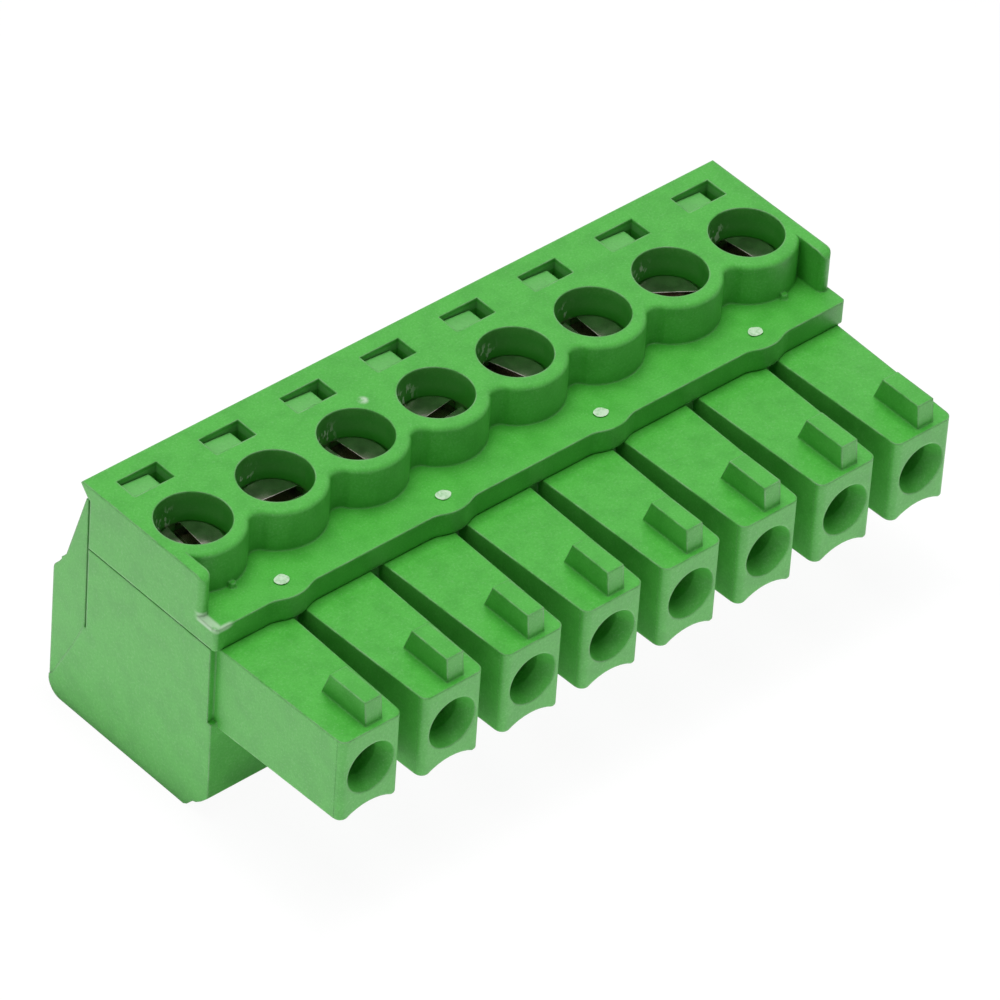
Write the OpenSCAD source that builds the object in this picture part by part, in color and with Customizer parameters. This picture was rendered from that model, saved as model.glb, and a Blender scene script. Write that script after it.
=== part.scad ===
// Pluggable terminal block with eight poles. The lower moulding carries eight
// tapered plug fingers and the wire funnels, the upper moulding snaps on over
// eight captive slotted screws. Each screw lifts a clamp cage that pinches a
// wire against the flat bar of a two-leaf socket contact.
// Z is up, the row runs along X, the fingers point to -Y, wires enter from +Y.
// The origin is the middle of the outline, on the flat underside.

/* [Row] */
// Distance between neighbouring poles
pitch = 3.81; // [3.5:0.01:5.08]
// Moulding past the outer poles' axes, each side
end_over = 1.875; // [1.7:0.005:2.6]

/* [Outline] */
// Full height, underside to top face
height = 11.1; // [9:0.05:13]
// Front wall ahead of the screw axes
front_y = 3.56; // [3.2:0.02:4.2]
// Rear face behind the screw axes, at the underside
rear_y = 5.52; // [5:0.02:6.5]
// Finger tips ahead of the screw axes
tip_y = 10.09; // [8.5:0.01:12]
// Height of the joint line between the mouldings
seam_z = 8.2; // [7.6:0.05:8.4]
// Open gap at the joint line
seam_gap = 0.05; // [0.02:0.01:0.1]

/* [Cover] */
// Screw well radius at the top face
well_r = 1.445; // [1.3:0.005:1.6]
// Scallop wall radius around each well
scallop_r = 2.0; // [1.85:0.01:2.2]
// Rounding of the scallop's top edge
scallop_edge = 0.22; // [0.1:0.01:0.35]
// Hollow rounding between two scallops
notch_r = 0.5; // [0.3:0.02:0.8]
// Top of the front ledge
ledge_z = 9.25; // [8.9:0.05:9.8]
// Ledge front ahead of the screw axes
ledge_y = 3.62; // [3.3:0.02:4.2]
// Thickness of the end plates beside the outer scallops
plate_t = 0.49; // [0.4:0.01:0.8]
// Front of the end plates ahead of the screw axes
plate_y = 2.75; // [2.2:0.05:3.3]
// How far the ledge swells forward at each gate mark
swell = 0.26; // [0.1:0.02:0.4]
// Half length of each swelling
swell_l = 1.25; // [0.9:0.05:1.6]
// Gate mark's place beside its left pole
gate_x = 1.75; // [1.5:0.05:2.0]
// Rounding of the ledge's upright corners
ledge_r = 0.16; // [0.05:0.01:0.3]
// Latch pocket width along the row
pocket_w = 1.84; // [1.4:0.02:2.2]
// Latch pocket depth front to back
pocket_d = 1.04; // [0.7:0.02:1.3]
// Latch pocket centre behind the screw axes
pocket_y = 2.68; // [2.2:0.02:3.0]
// Rear lip behind the screw axes
lip_y = 4.02; // [3.8:0.02:4.4]
// Depth of the rear lip below the top face
lip_h = 0.6; // [0.4:0.02:0.9]
// Depth of the latch hook's top below the top face, at its outer end
hook_hi = 0.24; // [0.1:0.02:0.4]
// The same at its inner end
hook_lo = 0.36; // [0.2:0.02:0.6]
// Latch hook's inner end past the pole's axis
hook_x = 0.62; // [0.3:0.02:0.8]

/* [Housing] */
// Floor under the clamp chambers
floor_t = 0.8; // [0.6:0.05:1.2]
// Rear wall behind the cover
wall_y = 3.57; // [3.4:0.01:3.8]
// Foot of the rear slope, behind the screw axes
slope_y = 4.76; // [4.4:0.02:5.0]
// Foot of the rear slope, above the underside
slope_z = 7.08; // [6.8:0.02:7.4]
// Radius of the roll along the rear shoulder
roll_r = 0.5; // [0.3:0.02:0.55]
// Height of that roll's axis
roll_z = 5.95; // [5.6:0.05:6.2]
// Draft of the rear face over the roll's height
draft = 0.07; // [0.02:0.01:0.15]
// Rounding of the rear lower edge
heel_r = 0.7; // [0.3:0.05:0.9]
// Width of the upright groove on each end face
groove_w = 0.13; // [0.06:0.01:0.2]
// Lower end of that groove
groove_z = 4.43; // [4.2:0.05:4.8]
// Wire bore radius
wire_r = 1.3; // [1.0:0.05:1.45]
// Height of the wire bore's axis
wire_z = 2.85; // [2.4:0.05:3.4]
// Depth of the wire funnel
funnel_d = 1.15; // [0.6:0.05:1.6]
// Half width of the wire funnel at the rear face
funnel_w = 1.62; // [1.4:0.02:1.75]
// Depth of the front band behind the fingers
band_d = 0.2; // [0.1:0.02:0.4]
// Lower edge of the front band
band_z = 4.72; // [4.4:0.02:5.2]

/* [Fingers] */
// Finger half width at the root
root_w = 1.59; // [1.4:0.01:1.7]
// Finger half width at the tip
tip_w = 1.39; // [1.2:0.01:1.6]
// Finger underside height
finger_z = 4.5; // [4.2:0.05:5.2]
// Rounding of the upright tip edges
tip_round = 0.3; // [0.15:0.01:0.45]
// Socket axis height
socket_z = 6.4; // [6:0.05:6.8]
// Socket mouth radius at the tip face
mouth_r = 1.1; // [0.8:0.01:1.15]
// Socket neck radius
neck_r = 0.82; // [0.6:0.01:1.0]
// Depth of the socket's flared mouth
mouth_d = 0.75; // [0.3:0.05:1.2]
// Depth of the hollow along the finger's underside
hollow_d = 0.28; // [0.1:0.02:0.4]
// Radius of that hollow
hollow_r = 2.11; // [1.6:0.01:3]
// Coding rib width
rib_w = 0.76; // [0.5:0.02:1.1]
// Coding rib's centre beside the finger's axis
rib_x = 0.23; // [-0.4:0.01:0.5]
// Coding rib height
rib_h = 1.05; // [0.6:0.05:1.2]
// Coding rib length along its foot
rib_l = 2.4; // [1.6:0.05:3.2]
// Coding rib's distance behind the tip face
rib_back = 0.24; // [0.1:0.02:0.6]

/* [Screws] */
// Top of the screw head
head_z = 9.9; // [9.5:0.05:10.3]
// Height of the head above its flange
head_h = 0.25; // [0.15:0.05:0.5]
// Step from the head to the flange that keeps the screw in the well
flange_step = 0.1; // [0.06:0.01:0.15]
// Thickness of that flange
flange_t = 0.95; // [0.6:0.05:1.2]
// Screw shank radius
shank_r = 1.0; // [0.8:0.05:1.1]
// Driver slot width
slot_w = 0.52; // [0.4:0.02:0.7]
// Driver slot depth
slot_d = 0.6; // [0.4:0.05:0.9]

/* [Clamp] */
// Clamp cage depth front to back
cage_d = 2.6; // [2.2:0.02:2.8]
// Clamp cage wall
cage_t = 0.35; // [0.2:0.05:0.45]
// Outer rounding of the cage's lower corners
cage_round = 0.3; // [0.1:0.05:0.35]
// Thickness of the threaded collar
collar_t = 1.0; // [0.7:0.05:1.2]
// Lowest point of the open cage
cage_z = 1.0; // [0.9:0.05:1.3]
// Lift of the cage from open to closed
cage_lift = 2.0; // [1.2:0.1:2.2]

/* [Contact] */
// Thickness of the contact strip
strip_t = 0.6; // [0.4:0.05:0.8]
// Underside of the current bar
bar_z = 4.2; // [4:0.05:4.6]
// Wall between the clamp chamber and the contact's upright
web_t = 0.5; // [0.3:0.05:0.7]
// Height of the socket leaves
leaf_h = 1.2; // [0.8:0.05:1.4]
// Thickness of the socket leaves
leaf_t = 0.28; // [0.2:0.02:0.4]
// Half gap between the leaves where they grip the pin
grip = 0.34; // [0.25:0.01:0.5]
// Leaf ends behind the finger's tip face
leaf_set = 1.35; // [1.1:0.05:1.8]
// Length of the flared leaf ends
leaf_nose = 0.75; // [0.4:0.05:1.0]
// Spread of the flared leaf ends
leaf_flare = 0.26; // [0.1:0.02:0.3]
// Length of the straight part of the leaves
leaf_run = 1.65; // [1:0.05:2.4]

/* [Fits] */
// Radial running clearance of head, flange and shank
run_gap = 0.045; // [0.02:0.005:0.09]
// Gap under the screw tip and around the contact bar
rest_gap = 0.05; // [0.02:0.01:0.1]
// Gap between the screw's shank and the cage's sides
shank_gap = 0.05; // [0.03:0.01:0.1]
// Gap between the cage and the chamber's sides
side_gap = 0.1; // [0.04:0.01:0.15]
// Gap between the cage and the chamber's front and rear
end_gap = 0.15; // [0.06:0.01:0.2]
// Gap between the current bar and the cage's sides
bar_gap = 0.15; // [0.06:0.01:0.2]
// Gap between the current bar and the open cage's collar
collar_gap = 0.15; // [0.06:0.01:0.3]
// Gap around each latch hook in its pocket
hook_gap = 0.05; // [0.03:0.01:0.1]

/* [Hidden] */
poles = 8;
half_w = (poles - 1) / 2 * pitch + end_over;
mid_y = (tip_y - rear_y) / 2;
cover_z = seam_z + seam_gap;
wall_back = wall_y + rest_gap;
slope_top = height - lip_h - 0.08;
roll_y = rear_y - draft - roll_r;
head_r = well_r - run_gap;
flange_r = head_r + flange_step;
shoulder_z = head_z - head_h;
flange_z = shoulder_z - flange_t;
tip_z = bar_z + strip_t + rest_gap;
cage_in = shank_r + shank_gap;
cage_w = 2 * (cage_in + cage_t);
chamber_w = cage_w + 2 * side_gap;
chamber_d = cage_d + 2 * end_gap;
collar_z = bar_z + strip_t + collar_gap;
bar_w = cage_in - bar_gap;
upright_y = chamber_d / 2 + web_t + strip_t;
leaf_tip = tip_y - leaf_set;
leaf_bend = upright_y + leaf_run;
swell_r = (pow(swell_l, 2) + pow(swell, 2)) / (4 * swell);
swell_m = swell / 2 + 0.012;
hollow_swell_r = (pow(swell_l / 2, 2) + pow(swell_m, 2)) / (2 * swell_m);
notch_y = sqrt(pow(scallop_r + notch_r - 0.02, 2) - pow(pitch / 2, 2));
fill_y = notch_y * scallop_r / (scallop_r + notch_r) - 0.07;
slot_turn = [84, -5, 95, 8, 108, 88, 146, 97];
green = [0.27, 0.62, 0.23];
steel = [0.62, 0.62, 0.6];
tin = [0.78, 0.76, 0.7];

function pole_x(n) = (n - (poles + 1) / 2) * pitch;

// Puts the screw axes' frame into the row's frame
module placed() translate([0, mid_y, 0]) children();

// Extrudes a (y, z) outline from x0 to x1
module along_x(x0, x1) translate([x0, 0, 0]) rotate([90, 0, 90]) linear_extrude(x1 - x0) children();

// Extrudes an (x, z) outline from y0 to y1
module along_y(y0, y1) translate([0, y1, 0]) rotate([90, 0, 0]) linear_extrude(y1 - y0) children();

// A box between two corners
module span(a, b) translate(a) cube([b[0] - a[0], b[1] - a[1], b[2] - a[2]]);

// ---------------------------------------------------------------- housing

module housing_outline() difference() {
    union() {
        polygon([[-front_y + 1.31, 0], [-front_y + 1.11, 0.12], [-front_y + 0.81, 0.47], [-front_y + 0.61, 0.56], [-front_y + 0.34, 0.78], [-front_y, 1.15],
                 [-front_y, band_z], [-front_y + band_d, band_z], [-front_y + band_d, seam_z],
                 [wall_back, seam_z], [wall_back, slope_top], [wall_back + 0.11, slope_top],
                 [slope_y, slope_z], [slope_y + 0.26, slope_z - 0.3], [roll_y, roll_z], [rear_y - draft, roll_z], [rear_y, 0]]);
        translate([roll_y, roll_z]) circle(roll_r, $fn = 48);
        polygon([[slope_y, slope_z], [roll_y, roll_z], [roll_y + 0.54 * roll_r, roll_z + 0.84 * roll_r]]);
    }
    difference() {
        translate([rear_y - heel_r, -0.1]) square([heel_r + 0.1, heel_r + 0.1]);
        translate([rear_y - heel_r, heel_r]) circle(heel_r, $fn = 64);
    }
}

// One finger's outline seen from above
module finger_plan() {
    difference() {
        polygon([[-root_w, -3.0], [-root_w, -3.6], [-tip_w, -tip_y], [tip_w, -tip_y], [root_w, -3.6], [root_w, -3.0]]);
        for (s = [-1, 1]) difference() {
            translate([s * (tip_w - tip_round / 2 + 0.05), -tip_y + tip_round / 2 - 0.05]) square(tip_round + 0.1, center = true);
            translate([s * (tip_w - tip_round), -tip_y + tip_round]) circle(tip_round, $fn = 48);
        }
    }
}

module finger(n) translate([pole_x(n), 0, 0]) {
    translate([0, 0, finger_z]) linear_extrude(seam_z - finger_z) finger_plan();
    // Coding rib, raked at its rear end
    along_x(rib_x - rib_w / 2, rib_x + rib_w / 2)
        polygon([[-tip_y + rib_back, seam_z - 0.2], [-tip_y + rib_back + rib_l, seam_z - 0.2], [-tip_y + rib_back + rib_l, seam_z],
                 [-tip_y + rib_back + rib_l - 0.38, seam_z + rib_h], [-tip_y + rib_back + 0.1, seam_z + rib_h], [-tip_y + rib_back, seam_z]]);
}

// Latch hook that stands in the cover's pocket
module hook(n) translate([pole_x(n), 0, 0])
    along_y(pocket_y - pocket_d / 2 + hook_gap, pocket_y + pocket_d / 2 - hook_gap)
        polygon([[-pocket_w / 2 + hook_gap, seam_z - 0.1], [hook_x, seam_z - 0.1], [hook_x, height - hook_lo - 0.12], [hook_x - 0.12, height - hook_lo],
                 [-pocket_w / 2 + hook_gap, height - hook_hi]]);

// Everything that is hollow for one pole
module pole_hollow(n) translate([pole_x(n), 0, 0]) {
    // Clamp chamber
    span([-chamber_w / 2, -chamber_d / 2, floor_t], [chamber_w / 2, chamber_d / 2, seam_z + 1]);
    // Wire bore and its funnel
    translate([0, rear_y + 0.5, wire_z]) rotate([90, 0, 0]) cylinder(r = wire_r, h = rear_y + 0.5 - chamber_d / 2 + 0.1, $fn = 48);
    intersection() {
        translate([0, 0, 0]) linear_extrude(height)
            polygon([[-wire_r, rear_y - funnel_d], [wire_r, rear_y - funnel_d], [funnel_w, rear_y + 0.01], [funnel_w, rear_y + 0.5], [-funnel_w, rear_y + 0.5], [-funnel_w, rear_y + 0.01]]);
        along_x(-3, 3)
            polygon([[rear_y - funnel_d, wire_z - wire_r], [rear_y + 0.01, wire_z - wire_r - 0.55], [rear_y + 0.5, wire_z - wire_r - 0.55],
                     [rear_y + 0.5, wire_z + wire_r + 0.75], [rear_y + 0.01, wire_z + wire_r + 0.75], [rear_y - funnel_d, wire_z + wire_r]]);
    }
    // Slot for the contact's upright, then the cavity for its leaves
    span([-bar_w - rest_gap, -upright_y - 0.1, bar_z - rest_gap], [bar_w + rest_gap, -chamber_d / 2 + 0.1, socket_z + leaf_h / 2 + 0.2]);
    span([-bar_w - rest_gap, -leaf_tip - 0.15, socket_z - leaf_h / 2 - 0.15], [bar_w + rest_gap, -upright_y - 0.05, socket_z + leaf_h / 2 + 0.2]);
    // Flared mouth and neck
    translate([0, -tip_y - 0.01, socket_z]) rotate([-90, 0, 0]) cylinder(r1 = mouth_r + 0.003, r2 = neck_r, h = mouth_d, $fn = 48);
    translate([0, -tip_y + mouth_d - 0.05, socket_z]) rotate([-90, 0, 0]) cylinder(r = neck_r, h = tip_y - mouth_d - leaf_tip + 0.05, $fn = 48);
    // Hollow along the underside of the finger
    translate([0, -tip_y - 0.1, finger_z + hollow_d - hollow_r]) rotate([-90, 0, 0]) cylinder(r = hollow_r, h = tip_y + 0.1 - front_y - 0.01, $fn = 96);
}

module housing() color(green) placed() difference() {
    union() {
        along_x(-half_w, half_w) housing_outline();
        for (n = [1:poles]) { finger(n); hook(n); }
    }
    for (n = [1:poles]) pole_hollow(n);
    for (s = [-1, 1]) {
        // Upright groove on each end face
        span([s * half_w - 0.12, wall_back - groove_w, groove_z], [s * half_w + 0.12, wall_back, seam_z + 1]);
        // Rear part of each end face, set back a little
        translate([s * half_w - 0.04, 0, 0]) rotate([90, 0, 90]) linear_extrude(0.08)
            polygon([[wall_back, height], [wall_back, groove_z], [wall_back + 0.62, groove_z - 1.37], [rear_y - 0.2, 0.98], [rear_y + 1.5, -0.5], [rear_y + 1.5, height]]);
    }
}

// ------------------------------------------------------------------ cover

module cover_outline()
    polygon([[-0.1, cover_z], [wall_y, cover_z], [wall_y, height - lip_h], [lip_y, height - 0.1], [lip_y - 0.06, height], [-0.1, height]]);

// Front ledge seen from above, with a shallow swelling at each gate mark
module ledge_plan() {
    difference() {
        translate([-half_w, -ledge_y]) square([2 * half_w, ledge_y]);
        for (s = [-1, 1]) difference() {
            translate([s * half_w - (s + 1) / 2 * ledge_r - (1 - s) / 2 * 0.1, -ledge_y - 0.1]) square([ledge_r + 0.1, ledge_r + 0.1]);
            translate([s * (half_w - ledge_r), -ledge_y + ledge_r]) circle(ledge_r, $fn = 32);
        }
    }
    for (n = [1:2:poles - 1]) translate([pole_x(n) + gate_x, -ledge_y]) {
        intersection() {
            translate([0, swell_r - swell]) circle(swell_r, $fn = 96);
            translate([-swell_l / 2, -swell - 0.1]) square([swell_l, swell + 0.6]);
        }
        for (s = [-1, 1]) difference() {
            translate([s * 0.75 * swell_l - swell_l / 4, -swell / 2 - 0.05]) square([swell_l / 2, swell / 2 + 0.35]);
            translate([s * swell_l, swell_m - swell / 2 - hollow_swell_r]) circle(hollow_swell_r, $fn = 96);
        }
    }
}

// Scallop outline as a half section, rounded at the top edge
module scallop_half() {
    difference() {
        translate([0, cover_z]) square([scallop_r, height - cover_z]);
        difference() {
            translate([scallop_r - scallop_edge, height - scallop_edge]) square(scallop_edge + 0.1);
            translate([scallop_r - scallop_edge, height - scallop_edge]) circle(scallop_edge, $fn = 32);
        }
    }
}

// Cutter for the hollow between two scallops, flared at the top edge
module notch_half() {
    translate([0, ledge_z]) square([notch_r, height - ledge_z + 0.1]);
    difference() {
        translate([0, height - scallop_edge]) square([notch_r + scallop_edge, scallop_edge + 0.1]);
        translate([notch_r + scallop_edge, height - scallop_edge]) circle(scallop_edge, $fn = 32);
    }
}

// End plate with a rounded front edge and top corner
module end_plate(s) translate([s * (half_w - plate_t / 2), 0, 0]) intersection() {
    union() {
        span([-plate_t / 2, -plate_y + plate_t / 2, cover_z], [plate_t / 2, 0.1, height]);
        translate([0, -plate_y + plate_t / 2, cover_z]) cylinder(r = plate_t / 2, h = height - cover_z, $fn = 48);
    }
    along_x(-1, 1) difference() {
        translate([-plate_y - 0.1, cover_z]) square([plate_y + 1, height - cover_z]);
        difference() {
            translate([-plate_y - 0.2, height - 0.4]) square([0.6, 0.6]);
            translate([-plate_y + 0.4, height - 0.4]) circle(0.4, $fn = 48);
        }
    }
}

module cover() color(green) placed() difference() {
    union() {
        // Top plate with its rear lip
        along_x(-half_w, half_w) cover_outline();
        // Front ledge
        translate([0, 0, cover_z]) linear_extrude(ledge_z - cover_z) ledge_plan();
        // Scallops, and the filling between them
        difference() {
            intersection() {
                union() {
                    for (n = [1:poles]) translate([pole_x(n), 0, 0]) rotate_extrude($fn = 72) scallop_half();
                    for (n = [1:poles - 1]) translate([pole_x(n) + pitch / 2, 0, 0]) span([-0.6, -fill_y, cover_z], [0.6, 0, height]);
                }
                span([-half_w, -4, 0], [half_w, 4, 20]);
            }
            for (n = [1:poles - 1]) translate([pole_x(n) + pitch / 2, -notch_y, 0]) rotate_extrude($fn = 48) notch_half();
        }
        for (s = [-1, 1]) end_plate(s);
        // Ejector pips at the foot of the outer scallops
        for (n = [1, poles]) translate([pole_x(n) + 0.15, -2.08, ledge_z - 0.1]) cylinder(r1 = 0.19, r2 = 0.13, h = 0.3, $fn = 24);
    }
    for (n = [1:poles]) translate([pole_x(n), 0, 0]) {
        // Screw well, and the wider seat of the screw's flange under its shoulder
        cylinder(r = well_r, h = height + 1, $fn = 72);
        translate([0, 0, cover_z - 1]) cylinder(r = flange_r + run_gap, h = shoulder_z + 0.03 - cover_z + 1, $fn = 72);
        // Latch pocket
        span([-pocket_w / 2, pocket_y - pocket_d / 2, cover_z - 1], [pocket_w / 2, pocket_y + pocket_d / 2, height + 1]);
    }
    // Upper end of the groove on each end face
    for (s = [-1, 1]) span([s * half_w - 0.12, wall_back - groove_w, cover_z - 1], [s * half_w + 0.12, wall_y + 0.02, height - lip_h]);
}

// ----------------------------------------------------------------- screws

// Slotted screw with a flange under the well's shoulder; hardest feature is
// the stack it belongs to: head, flange, shoulder, collar, bar and tip on one axis
module screw(n) color(steel) placed() translate([pole_x(n), 0, 0]) difference() {
    rotate_extrude($fn = 64)
        polygon([[0, tip_z], [shank_r - 0.25, tip_z], [shank_r, tip_z + 0.25],
                 [shank_r, flange_z], [flange_r, flange_z], [flange_r, shoulder_z], [head_r, shoulder_z], [head_r, head_z - 0.15],
                 [head_r - 0.18, head_z], [0, head_z]]);
    rotate([0, 0, slot_turn[n - 1]]) span([-2, -slot_w / 2, head_z - slot_d], [2, slot_w / 2, head_z + 1]);
}

// ------------------------------------------------------------------ cages

module cage(n) color(steel) placed() translate([pole_x(n), 0, 0]) difference() {
    along_y(-cage_d / 2, cage_d / 2) difference() {
        translate([-cage_w / 2, cage_z]) square([cage_w, collar_z + collar_t - cage_z]);
        translate([-cage_in, cage_z + cage_t]) square([2 * cage_in, collar_z - cage_z - cage_t]);
        // Rolled lower corners
        for (s = [-1, 1]) difference() {
            translate([s * (cage_w / 2 - cage_round / 2 + 0.05), cage_z + cage_round / 2 - 0.05]) square(cage_round + 0.1, center = true);
            translate([s * (cage_w / 2 - cage_round), cage_z + cage_round]) circle(cage_round, $fn = 32);
        }
    }
    translate([0, 0, collar_z - 0.5]) cylinder(r = shank_r + run_gap, h = collar_t + 1, $fn = 48);
}

// --------------------------------------------------------------- contacts

// Current bar, upright and two sprung leaves that grip the pin
module contact(n) color(tin) placed() translate([pole_x(n), 0, 0]) {
    span([-bar_w, -upright_y, bar_z], [bar_w, cage_d / 2 + rest_gap, bar_z + strip_t]);
    span([-bar_w, -upright_y, bar_z], [bar_w, -upright_y + strip_t, socket_z + leaf_h / 2 + 0.1]);
    translate([0, 0, socket_z - leaf_h / 2]) linear_extrude(leaf_h) for (s = [-1, 1])
        polygon([[s * bar_w, -upright_y + strip_t / 2], [s * bar_w, -leaf_bend], [s * (grip + leaf_t), -leaf_tip + leaf_nose + 0.25], [s * (grip + leaf_t), -leaf_tip + leaf_nose],
                 [s * (grip + leaf_t + leaf_flare), -leaf_tip], [s * (grip + leaf_flare), -leaf_tip], [s * grip, -leaf_tip + leaf_nose],
                 [s * grip, -leaf_tip + leaf_nose + 0.25], [s * (bar_w - leaf_t), -leaf_bend], [s * (bar_w - leaf_t), -upright_y + strip_t / 2]]);
}

module screw_1() screw(1);
module screw_2() screw(2);
module screw_3() screw(3);
module screw_4() screw(4);
module screw_5() screw(5);
module screw_6() screw(6);
module screw_7() screw(7);
module screw_8() screw(8);
module cage_1() cage(1);
module cage_2() cage(2);
module cage_3() cage(3);
module cage_4() cage(4);
module cage_5() cage(5);
module cage_6() cage(6);
module cage_7() cage(7);
module cage_8() cage(8);
module contact_1() contact(1);
module contact_2() contact(2);
module contact_3() contact(3);
module contact_4() contact(4);
module contact_5() contact(5);
module contact_6() contact(6);
module contact_7() contact(7);
module contact_8() contact(8);

housing();
cover();
screw_1();
screw_2();
screw_3();
screw_4();
screw_5();
screw_6();
screw_7();
screw_8();
cage_1();
cage_2();
cage_3();
cage_4();
cage_5();
cage_6();
cage_7();
cage_8();
contact_1();
contact_2();
contact_3();
contact_4();
contact_5();
contact_6();
contact_7();
contact_8();
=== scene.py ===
"""Looks for the eight-pole pluggable terminal block: moulded green plastic, plated screws,
clamp cages and tinned contacts, with the small marks that moulding leaves behind."""
import math

import bmesh
import bpy
from mathutils import Matrix, Vector, noise


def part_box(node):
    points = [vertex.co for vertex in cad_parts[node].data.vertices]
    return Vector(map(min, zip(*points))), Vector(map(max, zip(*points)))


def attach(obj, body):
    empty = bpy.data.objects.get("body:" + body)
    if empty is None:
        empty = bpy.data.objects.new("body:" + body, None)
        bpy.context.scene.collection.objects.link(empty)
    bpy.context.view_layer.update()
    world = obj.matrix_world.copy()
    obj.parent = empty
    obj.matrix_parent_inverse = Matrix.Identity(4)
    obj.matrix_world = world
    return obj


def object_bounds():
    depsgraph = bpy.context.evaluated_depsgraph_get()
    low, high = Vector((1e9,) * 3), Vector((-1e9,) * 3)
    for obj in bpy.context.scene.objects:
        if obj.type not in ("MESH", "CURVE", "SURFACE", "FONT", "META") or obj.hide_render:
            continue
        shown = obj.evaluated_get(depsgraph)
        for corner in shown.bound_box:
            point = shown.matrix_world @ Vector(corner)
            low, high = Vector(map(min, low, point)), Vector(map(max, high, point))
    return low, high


bl_info = {
    "name": "Pluggable terminal block",
    "version": (1, 0, 0),
    "blender": (4, 5, 0),
    "location": "View3D > Sidebar > Terminal block",
    "description": "Finishes the mouldings, screws, cages and contacts of a pluggable terminal block",
    "category": "Object",
}

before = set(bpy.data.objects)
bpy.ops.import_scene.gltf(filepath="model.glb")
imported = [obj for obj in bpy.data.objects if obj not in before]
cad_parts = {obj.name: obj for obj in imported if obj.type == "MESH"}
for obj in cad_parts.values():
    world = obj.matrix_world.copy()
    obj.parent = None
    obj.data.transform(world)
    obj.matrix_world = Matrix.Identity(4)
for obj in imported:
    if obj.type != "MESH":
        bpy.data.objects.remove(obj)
CAD_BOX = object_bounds()
MM = 0.001
POLES = 8
BLOCK = "block"
ROW_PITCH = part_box("screw_2")[0].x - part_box("screw_1")[0].x


def axis_of(pole):
    """The middle of a screw's head, on its axis."""
    low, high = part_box("screw_%d" % pole)
    return Vector(((low.x + high.x) / 2, (low.y + high.y) / 2, high.z))


SCREW_ROW = axis_of(1)
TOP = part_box("cover")[1].z
HEAD_DEPTH = TOP - SCREW_ROW.z
LEDGE = TOP - 1.85 * MM

# Wells, whose walls get painted shade and painted glints: the radius of the wall, the band that counts as
# wall, and the direction of its left side
WELL_WALL, WALL_HALF, WALL_SOFT = 1.47 * MM, 0.05 * MM, 0.03 * MM
SIDE_ACROSS, SIDE_ALONG = 0.79, 0.61
# Latch hooks, which get a painted sheen: half their width, their middle behind the screw's axis and half
# their reach
HOOK_WIDE, HOOK_BEHIND, HOOK_REACH = 0.92 * MM, 2.75 * MM, 0.75 * MM
# Screws: spacing of the turning rings, and where the thread starts below the head's face
RING_PITCH, THREAD_START = 0.09 * MM, -1.25 * MM
# Gate marks: stretch along and across the row, and how uneven the rim and the height are
MARK_LONG, MARK_SHORT, RIM_WOBBLE, HEIGHT_WOBBLE = 1.12, 0.94, 0.16, 0.6
# Soft boxes, in metres
TOP_BOX, SIDE_BOX, SIDE_SIZE = (0, 0.02, 0.4), (-0.36, -0.05, 0.21), 0.3
LIT_POINT = Vector((0, 0, 0.005))


# ---------------------------------------------------------------- settings

class BlockFinish(bpy.types.PropertyGroup):
    """Colours and surface of the pieces."""
    plastic: bpy.props.FloatVectorProperty(
        name="Plastic", description="Colour of both mouldings",
        subtype="COLOR", size=3, min=0, max=1, default=(0.073, 0.41, 0.051))
    # Also the colour of the painted highlight on edges, the painted glints in the wells and the painted sheen
    # on the hooks
    plastic_pale: bpy.props.FloatVectorProperty(
        name="Pale plastic", description="Colour of torn, chalky plastic",
        subtype="COLOR", size=3, min=0, max=1, default=(0.52, 0.68, 0.5))
    edge_radius: bpy.props.FloatProperty(
        name="Edge radius", description="Rounding of the moulded edges",
        subtype="DISTANCE", unit="LENGTH", min=0, default=0.14 * MM)
    steel: bpy.props.FloatVectorProperty(
        name="Screw plating", description="Colour of the plated screws",
        subtype="COLOR", size=3, min=0, max=1, default=(0.53, 0.5, 0.44))
    nickel: bpy.props.FloatVectorProperty(
        name="Cage plating", description="Colour of the clamp cages",
        subtype="COLOR", size=3, min=0, max=1, default=(0.62, 0.6, 0.56))
    tin: bpy.props.FloatVectorProperty(
        name="Tin", description="Colour of the contacts",
        subtype="COLOR", size=3, min=0, max=1, default=(0.7, 0.68, 0.62))


class BlockSizes(bpy.types.PropertyGroup):
    """Sizes of the marks added to the solids."""
    mark_radius: bpy.props.FloatProperty(
        name="Gate mark radius", description="Radius of the gate marks on the ledge",
        subtype="DISTANCE", unit="LENGTH", min=0, default=0.27 * MM)
    mark_height: bpy.props.FloatProperty(
        name="Gate mark height", description="How far a gate mark stands proud",
        subtype="DISTANCE", unit="LENGTH", min=0, default=0.035 * MM)
    mark_offset: bpy.props.FloatProperty(
        name="Gate mark offset", description="Gate mark's distance along the row from its left pole",
        subtype="DISTANCE", unit="LENGTH", default=1.75 * MM)
    mark_front: bpy.props.FloatProperty(
        name="Gate mark front", description="Gate mark's distance ahead of the screw axes",
        subtype="DISTANCE", unit="LENGTH", default=2.93 * MM)
    thread_pitch: bpy.props.FloatProperty(
        name="Thread pitch", description="Lead of the clamp screws",
        subtype="DISTANCE", unit="LENGTH", min=0, default=0.4 * MM)


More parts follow.
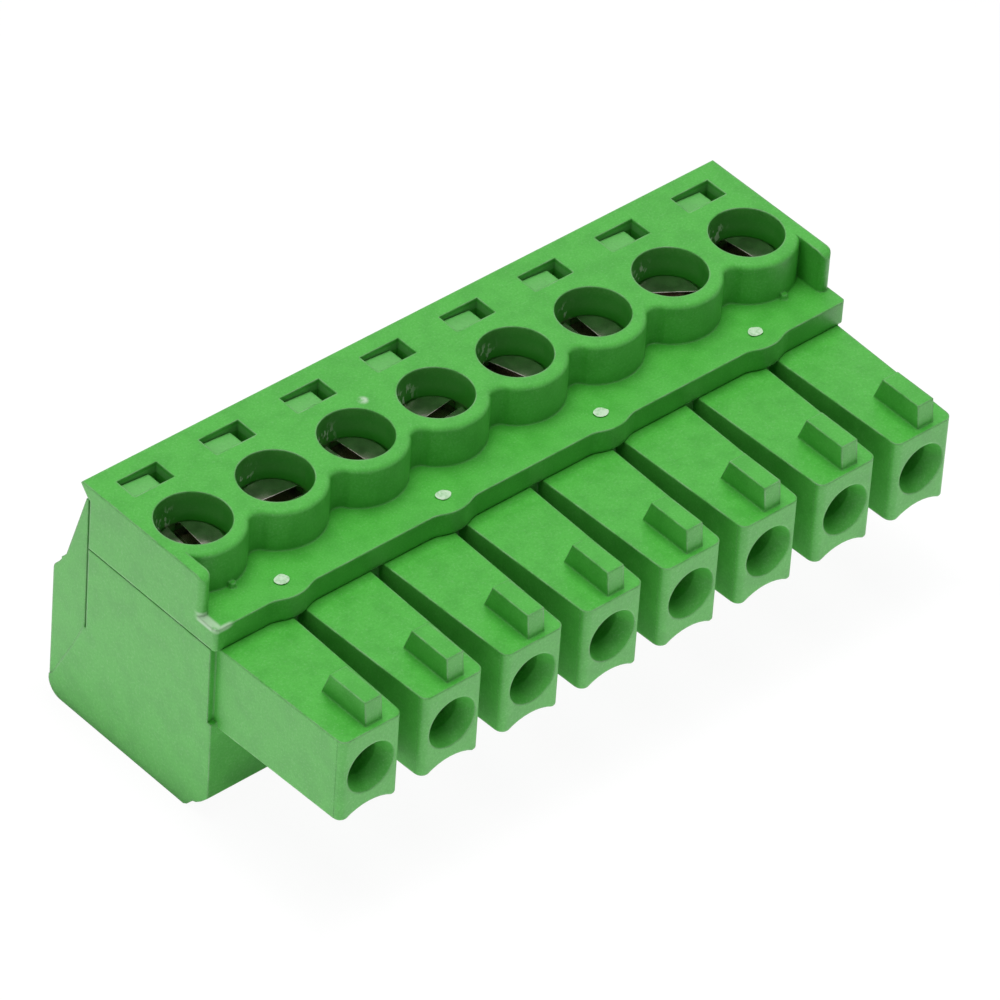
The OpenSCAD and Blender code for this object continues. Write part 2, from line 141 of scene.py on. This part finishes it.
class BlockStage(bpy.types.PropertyGroup):
    """Camera, lights and floor."""
    heading: bpy.props.FloatProperty(
        name="Heading", description="Camera's heading, from +Y towards +X",
        subtype="ANGLE", default=math.radians(43.707))
    tilt: bpy.props.FloatProperty(
        name="Tilt", description="How far the camera looks down",
        subtype="ANGLE", default=math.radians(40.573))
    roll: bpy.props.FloatProperty(
        name="Roll", description="Camera's turn about its own axis",
        subtype="ANGLE", default=math.radians(4.081))
    distance: bpy.props.FloatProperty(
        name="Distance", description="Camera to its aim point",
        subtype="DISTANCE", unit="LENGTH", default=0.335795)
    aim: bpy.props.FloatVectorProperty(
        name="Aim", description="Point the camera looks at",
        subtype="TRANSLATION", size=3, default=(0.000489, 0.001046, 0.00555))
    lens: bpy.props.FloatProperty(
        name="Lens", description="Focal length on a 36 mm frame",
        unit="CAMERA", default=329.18)
    top_light: bpy.props.FloatProperty(
        name="Top light", description="Power of the overhead soft box",
        unit="POWER", min=0, default=1.74)
    side_light: bpy.props.FloatProperty(
        name="Side light", description="Power of the soft box at the left",
        unit="POWER", min=0, default=0.22)
    top_size: bpy.props.FloatProperty(
        name="Top light size", description="Width of the overhead soft box",
        subtype="DISTANCE", unit="LENGTH", min=0, default=0.32)
    table_glow: bpy.props.FloatProperty(
        name="Table glow", description="Light given off by the table round the object",
        subtype="FACTOR", min=0, default=0.8)
    glow_reach: bpy.props.FloatProperty(
        name="Glow reach", description="Where the table's glow has faded out",
        subtype="DISTANCE", unit="LENGTH", min=0, default=0.075)
    sky: bpy.props.FloatProperty(
        name="Sky", description="Strength of the surrounding light",
        subtype="FACTOR", min=0, max=1, default=0.035)


# ------------------------------------------------------------ shader pieces

class Net:
    """A node tree with short calls to add and join nodes."""

    def __init__(self, tree):
        self.tree = tree

    def feed(self, socket, value):
        """Links a socket into another, or sets its plain value."""
        if isinstance(value, bpy.types.NodeSocket):
            self.tree.links.new(value, socket)
        else:
            socket.default_value = value

    def add(self, kind, inputs=None, **values):
        """A new node with its inputs fed and its settings set."""
        made = self.tree.nodes.new(kind)
        for key, value in values.items():
            setattr(made, key, value)
        for key, value in (inputs or {}).items():
            self.feed(made.inputs[key], value)
        return made

    def math(self, operation, a, b=0.0):
        return self.add("ShaderNodeMath", {0: a, 1: b}, operation=operation).outputs[0]

    def vector(self, operation, a, b):
        made = self.add("ShaderNodeVectorMath", {0: a, 1: b}, operation=operation)
        return made.outputs["Value" if operation in {"DISTANCE", "DOT_PRODUCT"} else "Vector"]

    def mix(self, factor, a, b):
        made = self.add("ShaderNodeMix", data_type="RGBA")
        for name, value in (("Factor_Float", factor), ("A_Color", a), ("B_Color", b)):
            self.feed(next(s for s in made.inputs if s.identifier == name), value)
        return next(s for s in made.outputs if s.identifier == "Result_Color")

    def ramp(self, value, low, high):
        """A smooth rise from 0 at low to 1 at high."""
        return self.add("ShaderNodeMapRange", {
            "Value": value, "From Min": low, "From Max": high, "To Min": 0.0, "To Max": 1.0,
        }, interpolation_type="SMOOTHSTEP").outputs["Result"]

    def rest(self, value):
        """What is left of 1 after a mask."""
        return self.math("SUBTRACT", 1.0, value)

    def times(self, *values):
        """The product of some masks."""
        made = values[0]
        for value in values[1:]:
            made = self.math("MULTIPLY", made, value)
        return made

    def plus(self, value, mask, share):
        """A value with a share of a mask added."""
        return self.math("ADD", value, self.math("MULTIPLY", mask, share))

    def band(self, value, centre, half, soft):
        """A soft mask of the values near one value."""
        away = self.math("ABSOLUTE", self.math("SUBTRACT", value, centre))
        return self.rest(self.ramp(away, half, half + soft))

    def past(self, value, low, high):
        """How far a value lies outside a range, below 0 inside it."""
        away = self.math("ABSOLUTE", self.math("SUBTRACT", value, (low + high) / 2))
        return self.math("SUBTRACT", away, (high - low) / 2)

    def noise(self, where, scale, detail, roughness=0.5):
        return self.add("ShaderNodeTexNoise", {
            "Vector": where, "Scale": scale, "Detail": detail, "Roughness": roughness,
        }).outputs["Fac"]

    def split(self, where):
        return self.add("ShaderNodeSeparateXYZ", {"Vector": where}).outputs

    def bump(self, shader, height, strength, distance, normal=None):
        """Presses a height into a shader's normal."""
        inputs = {"Height": height, "Strength": strength, "Distance": distance}
        if normal:
            inputs["Normal"] = normal
        self.feed(shader.inputs["Normal"], self.add("ShaderNodeBump", inputs).outputs["Normal"])

    def position(self):
        """The object's own coordinates, through a mapping."""
        own = self.add("ShaderNodeTexCoord").outputs["Object"]
        return self.add("ShaderNodeMapping", {"Vector": own}).outputs["Vector"]

    def glow(self, strength):
        return self.add("ShaderNodeEmission", {"Color": (1, 1, 1, 1), "Strength": strength}).outputs[0]

    def place(self, tree, **values):
        """Puts a group in the tree and returns its outputs."""
        made = self.add("ShaderNodeGroup", node_tree=tree)
        for key, value in values.items():
            self.feed(made.inputs[key], value)
        return made.outputs


def empty_net(owner):
    """Switches on the nodes of a material or world and clears them."""
    owner.use_nodes = True
    owner.node_tree.nodes.clear()
    return Net(owner.node_tree)


def new_group(name, takes, gives):
    """An empty shader group with named sockets: its net, its inputs and the sockets to fill."""
    tree = bpy.data.node_groups.new(name, "ShaderNodeTree")
    for socket, kind, value in takes:
        made = tree.interface.new_socket(name=socket, in_out="INPUT", socket_type=kind)
        if value is not None:
            made.default_value = value
    for socket, kind in gives:
        tree.interface.new_socket(name=socket, in_out="OUTPUT", socket_type=kind)
    net = Net(tree)
    return net, net.add("NodeGroupInput").outputs, net.add("NodeGroupOutput").inputs


def moulded_grain():
    """Fine sink and spark texture of a moulded face: a height and a mottle mask."""
    if "Moulded grain" in bpy.data.node_groups:
        return bpy.data.node_groups["Moulded grain"]
    net, got, out = new_group(
        "Moulded grain",
        [("Vector", "NodeSocketVector", None), ("Fine", "NodeSocketFloat", 9000.0),
         ("Coarse", "NodeSocketFloat", 900.0)],
        [("Height", "NodeSocketFloat"), ("Mottle", "NodeSocketFloat")])
    fine = net.noise(got["Vector"], got["Fine"], 2.0, 0.6)
    coarse = net.noise(got["Vector"], got["Coarse"], 4.0, 0.55)
    net.feed(out["Height"], net.plus(net.math("MULTIPLY", fine, 0.35), coarse, 0.65))
    net.feed(out["Mottle"], coarse)
    return net.tree


def edge_wear_highlight_and_crease_shade():
    """Masks of the outer edges, for wear and a painted highlight, and of the creases, where shade is painted,
    and a normal that rounds both.
    """
    if "Edge wear, highlight and crease shade" in bpy.data.node_groups:
        return bpy.data.node_groups["Edge wear, highlight and crease shade"]
    net, got, out = new_group(
        "Edge wear, highlight and crease shade",
        [("Radius", "NodeSocketFloat", 0.0001), ("Breakup", "NodeSocketFloat", 1400.0),
         ("Vector", "NodeSocketVector", None)],
        [("Mask", "NodeSocketFloat"), ("Crease shade", "NodeSocketFloat"), ("Normal", "NodeSocketVector")])
    rounded = net.add("ShaderNodeBevel", {"Radius": got["Radius"]}, samples=6).outputs["Normal"]
    truth = net.add("ShaderNodeNewGeometry").outputs["True Normal"]
    turn = net.rest(net.vector("DOT_PRODUCT", rounded, truth))
    broken = net.noise(got["Vector"], got["Breakup"], 3.0)
    reach = net.math("MULTIPLY", got["Radius"], 3.5)
    opening = net.add("ShaderNodeAmbientOcclusion", {"Distance": reach}, samples=5).outputs["AO"]
    # Outer edges: one mask for wear and for a painted highlight
    wear_and_highlight = net.times(net.ramp(turn, 0.02, 0.24), net.ramp(broken, 0.25, 0.7), net.ramp(opening, 0.7, 0.95))
    net.feed(out["Mask"], wear_and_highlight)
    # Painted shade: the crease mask darkens where the ambient occlusion closes in
    net.feed(out["Crease shade"], net.rest(net.ramp(opening, 0.35, 0.95)))
    net.feed(out["Normal"], rounded)
    return net.tree


def by_pole():
    """Position folded into one pole, measured from the middle of its screw's head."""
    if "By pole" in bpy.data.node_groups:
        return bpy.data.node_groups["By pole"]
    net, got, out = new_group(
        "By pole", [("Vector", "NodeSocketVector", None)],
        [(name, "NodeSocketFloat") for name in ("Across", "Along", "Up", "Radius")])
    here = net.split(net.vector("SUBTRACT", got["Vector"], SCREW_ROW))
    pole = net.math("FLOOR", net.math("DIVIDE", net.math("ADD", here["X"], ROW_PITCH * 0.5), ROW_PITCH))
    across = net.math("SUBTRACT", here["X"], net.math("MULTIPLY", pole, ROW_PITCH))
    square = net.math("ADD", net.math("MULTIPLY", across, across), net.math("MULTIPLY", here["Y"], here["Y"]))
    net.feed(out["Across"], across)
    net.feed(out["Along"], here["Y"])
    net.feed(out["Up"], here["Z"])
    net.feed(out["Radius"], net.math("SQRT", square))
    return net.tree


def fresh_material(name):
    """An empty material with its shader and a mapped object-space position."""
    made = bpy.data.materials.new(name)
    net = empty_net(made)
    shader = net.add("ShaderNodeBsdfPrincipled")
    net.add("ShaderNodeOutputMaterial", {"Surface": shader.outputs["BSDF"]})
    return made, net, shader, net.position()


def rgba(colour, *factors):
    """A colour with its alpha, each channel scaled by one factor or by its own and kept under 1."""
    if len(factors) == 1:
        factors = factors * 3
    return (*(min(1.0, c * f) for c, f in zip(colour, factors or (1, 1, 1))), 1.0)


def glints_and_well_shade(net, where, folded):
    """Masks of the painted glints low on the left of each well and of the painted shade on its wall."""
    left = net.math("MULTIPLY", folded["Across"], SIDE_ACROSS)
    lean = net.math("SUBTRACT", net.math("MULTIPLY", folded["Along"], SIDE_ALONG), left)
    side = net.math("DIVIDE", lean, folded["Radius"])
    wall = net.band(folded["Radius"], WELL_WALL, WALL_HALF, WALL_SOFT)
    fleck_noise = net.noise(net.vector("MULTIPLY", where, (1.0, 1.0, 0.45)), 6000.0, 2.0)
    patches = net.noise(where, 420.0, 1.0)
    # Painted glints: pale flecks low on the left of the wall
    painted_glints = net.times(
        wall, net.ramp(side, 0.3, 0.85), net.band(folded["Up"], 0.1 * MM, 0.3 * MM, 0.5 * MM),
        net.ramp(fleck_noise, 0.53, 0.62), net.ramp(patches, 0.28, 0.45), 0.9)
    # Painted shade on the wall between the rim and the screw's seat, less of it on the left
    below_rim = net.rest(net.ramp(folded["Up"], HEAD_DEPTH - 0.5 * MM, HEAD_DEPTH - 0.03 * MM))
    above_seat = net.ramp(folded["Up"], -1.5 * MM, -1.2 * MM)
    strength = net.math("SUBTRACT", 0.65, net.math("MULTIPLY", net.ramp(side, 0.3, 0.95), 0.45))
    return painted_glints, net.times(wall, below_rim, above_seat, strength)


def hook_sheen_mask(net, folded):
    """Mask of the painted pale sheen on the latch hooks that stand in the cover's pockets."""
    depth = net.math("SUBTRACT", HEAD_DEPTH, folded["Up"])
    return net.times(
        net.band(folded["Across"], 0, HOOK_WIDE, 0.04 * MM),
        net.band(folded["Along"], HOOK_BEHIND, HOOK_REACH, 0.1 * MM),
        net.band(depth, 0.32 * MM, 0.14 * MM, 0.03 * MM), 0.11)


def stress_mask(net, where, fray):
    """Mask of the whitened edge at the left front corner of the ledge."""
    here = net.split(where)
    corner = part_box("cover")[0]
    near_end = net.times(
        net.band(here["X"], corner.x + 0.12 * MM, 0.12 * MM, 0.16 * MM),
        net.band(here["Y"], corner.y + 0.7 * MM, 0.45 * MM, 0.4 * MM))
    near_front = net.times(
        net.band(here["X"], corner.x + 0.35 * MM, 0.25 * MM, 0.3 * MM),
        net.band(here["Y"], corner.y + 0.2 * MM, 0.1 * MM, 0.16 * MM))
    return net.times(
        net.math("MAXIMUM", near_end, near_front), net.band(here["Z"], LEDGE, 0.12 * MM, 0.12 * MM),
        net.ramp(fray, 0.2, 0.5), 0.7)


def nick_mask(net, where, fray):
    """Mask of the nick behind the third well."""
    third = axis_of(3)
    away = net.vector("DISTANCE", where, (third.x + 1.42 * MM, third.y + 1.29 * MM, TOP))
    return net.times(net.rest(net.ramp(away, 0.05 * MM, 0.28 * MM)), net.ramp(fray, 0.35, 0.6))


def plastic_material(finish):
    """Satin green plastic with a fine mottle, soft edges with wear and a painted highlight, painted shade in
    the creases and on the well walls, painted glints on a slight relief in the wells, a painted sheen on the
    hooks and a few stress marks.
    """
    made, net, shader, where = fresh_material("Green moulded plastic")
    grain = net.place(moulded_grain(), Vector=where, Fine=9000.0, Coarse=1100.0)
    edges = net.place(edge_wear_highlight_and_crease_shade(), Vector=where, Radius=finish.edge_radius, Breakup=1500.0)
    folded = net.place(by_pole(), Vector=where)
    speckle = net.noise(where, 12000.0, 2.0, 0.7)
    fray = net.noise(where, 2000.0, 3.0, 0.6)
    # Masks of the painted glints and the painted shade on the well walls
    painted_glints, painted_shade_and_film = glints_and_well_shade(net, where, folded)
    green, pale = finish.plastic, rgba(finish.plastic_pale)
    colour = net.mix(net.ramp(grain["Mottle"], 0.32, 0.6), rgba(green, 0.78, 0.88, 0.76), rgba(green))
    for mask, over in (
            (net.times(net.ramp(speckle, 0.5, 0.75), 0.1), pale),
            (net.times(net.ramp(speckle, 0.5, 0.25), 0.45), rgba(green, 0.6)),
            # Painted highlight with some wear: the outer edges made paler
            (net.math("MULTIPLY", edges["Mask"], 0.5), pale),
            # Painted shade: the creases darkened to a deeper green
            (net.math("MULTIPLY", edges["Crease shade"], 0.55), rgba(green, 0.25, 0.6, 0.2)),
            # Painted shade: a darker band on the well walls
            (painted_shade_and_film, rgba(green, 0.2, 0.72, 0.15)),
            # Painted glints: pale flecks low on the left of each well wall
            (painted_glints, rgba(finish.plastic_pale, 1.4)),
            # Painted sheen: the latch hooks made paler
            (hook_sheen_mask(net, folded), pale),
            (stress_mask(net, where, fray), pale),
            (nick_mask(net, where, fray), pale)):
        colour = net.mix(mask, colour, over)
    net.feed(shader.inputs["Base Color"], colour)
    rough = net.math("ADD", 0.36, net.math("MULTIPLY", grain["Mottle"], 0.14))
    net.feed(shader.inputs["Roughness"], net.plus(rough, speckle, 0.08))
    # The painted glints' mask also raises a slight relief on the wall
    net.bump(shader, net.plus(grain["Height"], painted_glints, 6.0), 0.4, 0.006 * MM, edges["Normal"])
    shader.inputs["IOR"].default_value = 1.5
    shader.inputs["Specular IOR Level"].default_value = 0.6
    return made


def turned_marks(net, folded, tint, colour, height, thread):
    """A brown film below the head's face, turning rings on it and a thread on the shank."""
    painted_shade_and_film = net.rest(net.ramp(folded["Up"], -0.16 * MM, -0.02 * MM))
    tint = net.mix(net.math("MULTIPLY", painted_shade_and_film, 0.4), tint, rgba(colour, 0.6, 0.44, 0.34))
    rings = net.math("SINE", net.math("MULTIPLY", folded["Radius"], 2 * math.pi / RING_PITCH))
    angle = net.math("ARCTAN2", folded["Along"], folded["Across"])
    rise = net.math("MULTIPLY", folded["Up"], 2 * math.pi / thread)
    half_turn = net.math("MULTIPLY", net.math("SUBTRACT", rise, angle), 0.5)
    helix = net.math("ABSOLUTE", net.math("SINE", half_turn))
    shank = net.math("LESS_THAN", folded["Up"], THREAD_START)
    return tint, net.math("ADD", net.plus(height, rings, 0.03), net.times(helix, shank, 6.0))


def metal_material(name, colour, roughness, thread=None):
    """Bright plated metal with fine scratches and a painted pale glint along its edges. One with a thread is
    a turned screw.
    """
    made, net, shader, where = fresh_material(name)
    cloud = net.noise(where, 1500.0, 4.0)
    scratch = net.noise(net.vector("MULTIPLY", where, (1.0, 9.0, 1.0)), 2200.0, 3.0, 0.7)
    edges = net.place(edge_wear_highlight_and_crease_shade(), Vector=where, Radius=0.04 * MM, Breakup=2200.0)
    tint = net.mix(net.ramp(cloud, 0.32, 0.68), rgba(colour, 0.66), rgba(colour))
    height = net.math("MULTIPLY", scratch, 0.25)
    if thread:
        tint, height = turned_marks(net, net.place(by_pole(), Vector=where), tint, colour, height, thread)
    # Painted glint: a pale line along the outer edges
    tint = net.mix(net.math("MULTIPLY", edges["Mask"], 0.85), tint, (0.95, 0.9, 0.84, 1))
    net.feed(shader.inputs["Base Color"], tint)
    rough = net.math("ADD", roughness, net.math("MULTIPLY", cloud, 0.12))
    net.feed(shader.inputs["Roughness"], net.plus(rough, edges["Mask"], 0.25))
    shader.inputs["Metallic"].default_value = 1.0
    net.bump(shader, height, 0.4, 0.012 * MM, edges["Normal"])
    return made


def pale_material(finish):
    """Torn, chalky plastic of a gate mark, greener towards its rim."""
    made, net, shader, where = fresh_material("Gate mark plastic")
    fleck_noise = net.noise(where, 5200.0, 5.0, 0.7)
    rise = net.ramp(net.split(where)["Z"], LEDGE + 0.002 * MM, LEDGE + 0.03 * MM)
    soft = rgba([(c + p) / 2 for c, p in zip(finish.plastic, finish.plastic_pale)])
    tint = net.mix(net.times(rise, net.ramp(fleck_noise, 0.25, 0.6)), soft, rgba(finish.plastic_pale, 1.1))
    net.feed(shader.inputs["Base Color"], tint)
    net.feed(shader.inputs["Roughness"], net.math("ADD", 0.5, net.math("MULTIPLY", fleck_noise, 0.3)))
    net.bump(shader, fleck_noise, 0.8, 0.03 * MM)
    return made


# -------------------------------------------------------------- mesh pieces

def finish_mesh(name, bm, body, material):
    """Turns a bmesh into a piece that rides on a body."""
    bmesh.ops.recalc_face_normals(bm, faces=bm.faces)
    mesh = bpy.data.meshes.new(name)
    bm.to_mesh(mesh)
    bm.free()
    for polygon in mesh.polygons:
        polygon.use_smooth = True
    mesh.materials.append(material)
    piece = bpy.data.objects.new(name, mesh)
    bpy.context.scene.collection.objects.link(piece)
    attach(piece, body)


def dress(nodes, material):
    """Gives CAD nodes their material."""
    for node in nodes:
        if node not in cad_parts:
            raise RuntimeError("the frame has no %s to finish" % node)
        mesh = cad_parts[node].data
        mesh.materials.clear()
        mesh.materials.append(material)


def all_of(kind):
    """The names of one kind of piece, pole by pole."""
    return ["%s_%d" % (kind, pole) for pole in range(1, POLES + 1)]


# ---------------------------------------------------------------- operators

class BLOCK_OT_mouldings(bpy.types.Operator):
    """Give the housing and the cover their moulded plastic"""
    bl_idname = "block.mouldings"
    bl_label = "Finish the mouldings"

    def execute(self, context):
        dress(["housing", "cover"], plastic_material(context.scene.block_finish))
        return {"FINISHED"}


class BLOCK_OT_metal(bpy.types.Operator):
    """Give the screws, cages and contacts their plating"""
    bl_idname = "block.metal"
    bl_label = "Finish the metal pieces"

    def execute(self, context):
        finish = context.scene.block_finish
        thread = context.scene.block_sizes.thread_pitch
        dress(all_of("screw"), metal_material("Zinc plated steel", finish.steel, 0.12, thread))
        dress(all_of("cage"), metal_material("Nickel plated steel", finish.nickel, 0.18))
        dress(all_of("contact"), metal_material("Tinned copper alloy", finish.tin, 0.22))
        return {"FINISHED"}


class BLOCK_OT_gate_marks(bpy.types.Operator):
    """Leave a torn gate mark on the ledge between every other pair of poles"""
    bl_idname = "block.gate_marks"
    bl_label = "Add the gate marks"

    def execute(self, context):
        pale = pale_material(context.scene.block_finish)
        for count, pole in enumerate(range(1, POLES, 2)):
            bm = self.mark(context.scene.block_sizes, count, axis_of(pole))
            if not bm.faces:
                raise RuntimeError("gate mark %d came out empty" % (count + 1))
            finish_mesh("gate_mark_%d" % (count + 1), bm, BLOCK, pale)
        return {"FINISHED"}

    def mark(self, sizes, count, axis):
        """A low stepped disc with an uneven rim, on the ledge ahead of a pole."""
        radius, proud = sizes.mark_radius, sizes.mark_height
        bm = bmesh.new()
        bmesh.ops.create_circle(bm, cap_ends=True, radius=radius, segments=28)
        bmesh.ops.inset_region(bm, faces=bm.faces[:], thickness=radius * 0.35, depth=proud)
        crown = [face for face in bm.faces if len(face.verts) > 4]
        bmesh.ops.inset_region(bm, faces=crown, thickness=radius * 0.3, depth=proud * 0.3)
        for vert in bm.verts:
            wobble = noise.noise(Vector((vert.co.x, vert.co.y, 0)) * 4000 + Vector((count * 7.3, 0, 0)))
            vert.co.x *= MARK_LONG + RIM_WOBBLE * wobble
            vert.co.y *= MARK_SHORT + RIM_WOBBLE * wobble
            if vert.co.z > 0:
                vert.co.z *= 1 + HEIGHT_WOBBLE * wobble
        centre = Vector((axis.x + sizes.mark_offset, axis.y - sizes.mark_front, LEDGE))
        bmesh.ops.translate(bm, verts=bm.verts, vec=centre)
        return bm


class BLOCK_OT_stage(bpy.types.Operator):
    """Set the pale floor, the soft lights and the camera"""
    bl_idname = "block.stage"
    bl_label = "Set the stage"

    def execute(self, context):
        scene = context.scene
        stage = scene.block_stage
        scene.view_settings.view_transform = "Standard"
        self.floor(scene, stage)
        self.lamp(scene, "top_box", TOP_BOX, stage.top_size, stage.top_light)
        self.lamp(scene, "side_box", SIDE_BOX, SIDE_SIZE, stage.side_light)
        self.sky(scene, stage)
        self.camera(scene, stage)
        if scene.camera is None:
            raise RuntimeError("the stage has no camera")
        return {"FINISHED"}

    def floor(self, scene, stage):
        bm = bmesh.new()
        bmesh.ops.create_grid(bm, x_segments=2, y_segments=2, size=1.5)
        # A hair below the flat underside, so that the two surfaces don't coincide
        bmesh.ops.translate(bm, verts=bm.verts, vec=(0, 0, CAD_BOX[0].z - 0.01 * MM))
        mesh = bpy.data.meshes.new("floor")
        bm.to_mesh(mesh)
        bm.free()
        floor = bpy.data.objects.new("floor", mesh)
        scene.collection.objects.link(floor)
        mesh.materials.append(self.table(stage))

    def table(self, stage):
        """White paper that glows near the block, but not where the block shades it."""
        made = bpy.data.materials.new("White table")
        net = empty_net(made)
        where = net.position()
        reach = stage.glow_reach
        away = net.vector("DISTANCE", where, (-reach * 0.17, -reach * 0.17, 0))
        near = net.rest(net.ramp(away, reach * 0.4, reach))
        here = net.split(where)
        past_side, past_end = (net.past(here[i], CAD_BOX[0][i], CAD_BOX[1][i]) for i in range(2))
        outside = net.ramp(net.math("MAXIMUM", past_side, past_end), -0.5 * MM, 2.5 * MM)
        near = net.math("MULTIPLY", near, outside)
        paper = net.add("ShaderNodeBsdfDiffuse", {"Color": (0.9, 0.9, 0.9, 1)}).outputs[0]
        glow = net.glow(net.math("MULTIPLY", near, stage.table_glow))
        white = net.glow(1.0)
        ray = net.add("ShaderNodeLightPath").outputs
        mirrored = net.math("MAXIMUM", ray["Is Glossy Ray"], ray["Is Transmission Ray"])
        seen = net.plus(net.math("MULTIPLY", ray["Is Camera Ray"], 0.95), mirrored, 0.25)
        lit = net.add("ShaderNodeAddShader", {0: paper, 1: glow}).outputs[0]
        both = net.add("ShaderNodeMixShader", {0: seen, 1: lit, 2: white}).outputs[0]
        net.add("ShaderNodeOutputMaterial", {"Surface": both})
        return made

    def lamp(self, scene, name, place, size, power):
        data = bpy.data.lights.new(name, "AREA")
        data.shape = "RECTANGLE"
        data.size = data.size_y = size
        data.energy = power
        lamp = bpy.data.objects.new(name, data)
        lamp.location = place
        lamp.rotation_euler = (LIT_POINT - Vector(place)).to_track_quat("-Z", "Y").to_euler()
        # Polished screw heads show the pale surroundings, not the lamp itself
        lamp.visible_glossy = False
        scene.collection.objects.link(lamp)

    def sky(self, scene, stage):
        world = bpy.data.worlds.new("Studio")
        net = empty_net(world)
        ray = net.add("ShaderNodeLightPath").outputs
        direct = net.math("MAXIMUM", ray["Is Camera Ray"], ray["Is Glossy Ray"])
        seen = net.math("MAXIMUM", direct, ray["Is Transmission Ray"])
        strength = net.math("ADD", net.math("MULTIPLY", seen, 1.0 - stage.sky), stage.sky)
        light = net.add("ShaderNodeBackground", {"Color": (1, 1, 1, 1), "Strength": strength})
        net.add("ShaderNodeOutputWorld", {"Surface": light.outputs[0]})
        scene.world = world

    def camera(self, scene, stage):
        data = bpy.data.cameras.new("camera")
        data.lens = stage.lens
        data.sensor_width = 36
        data.clip_start = 0.01
        data.clip_end = 10
        camera = bpy.data.objects.new("camera", data)
        turn = (Matrix.Rotation(-stage.heading, 3, "Z") @ Matrix.Rotation(math.pi / 2 - stage.tilt, 3, "X")
                @ Matrix.Rotation(stage.roll, 3, "Z"))
        place = Vector(stage.aim) + turn @ Vector((0, 0, stage.distance))
        camera.matrix_world = Matrix.Translation(place) @ turn.to_4x4()
        scene.collection.objects.link(camera)
        scene.camera = camera


class BLOCK_PT_panel(bpy.types.Panel):
    """Lists the block's sizes, colours and steps"""
    bl_idname = "BLOCK_PT_panel"
    bl_label = "Terminal block"
    bl_space_type = "VIEW_3D"
    bl_region_type = "UI"
    bl_category = "Terminal block"

    def draw(self, context):
        column = self.layout.column()
        for group in (context.scene.block_finish, context.scene.block_sizes, context.scene.block_stage):
            for name in group.bl_rna.properties.keys():
                if name not in {"rna_type", "name"}:
                    column.prop(group, name)
        for step in STEPS:
            column.operator(step.bl_idname)


STEPS = (BLOCK_OT_mouldings, BLOCK_OT_metal, BLOCK_OT_gate_marks, BLOCK_OT_stage)
CLASSES = (BlockFinish, BlockSizes, BlockStage, *STEPS, BLOCK_PT_panel)


def register():
    for each in CLASSES:
        bpy.utils.register_class(each)
    bpy.types.Scene.block_finish = bpy.props.PointerProperty(type=BlockFinish)
    bpy.types.Scene.block_sizes = bpy.props.PointerProperty(type=BlockSizes)
    bpy.types.Scene.block_stage = bpy.props.PointerProperty(type=BlockStage)


def unregister():
    del bpy.types.Scene.block_stage
    del bpy.types.Scene.block_sizes
    del bpy.types.Scene.block_finish
    for each in reversed(CLASSES):
        bpy.utils.unregister_class(each)


def main():
    register()
    bpy.ops.block.mouldings()
    bpy.ops.block.metal()
    bpy.ops.block.gate_marks()
    bpy.ops.block.stage()


if __name__ == "__main__":
    main()
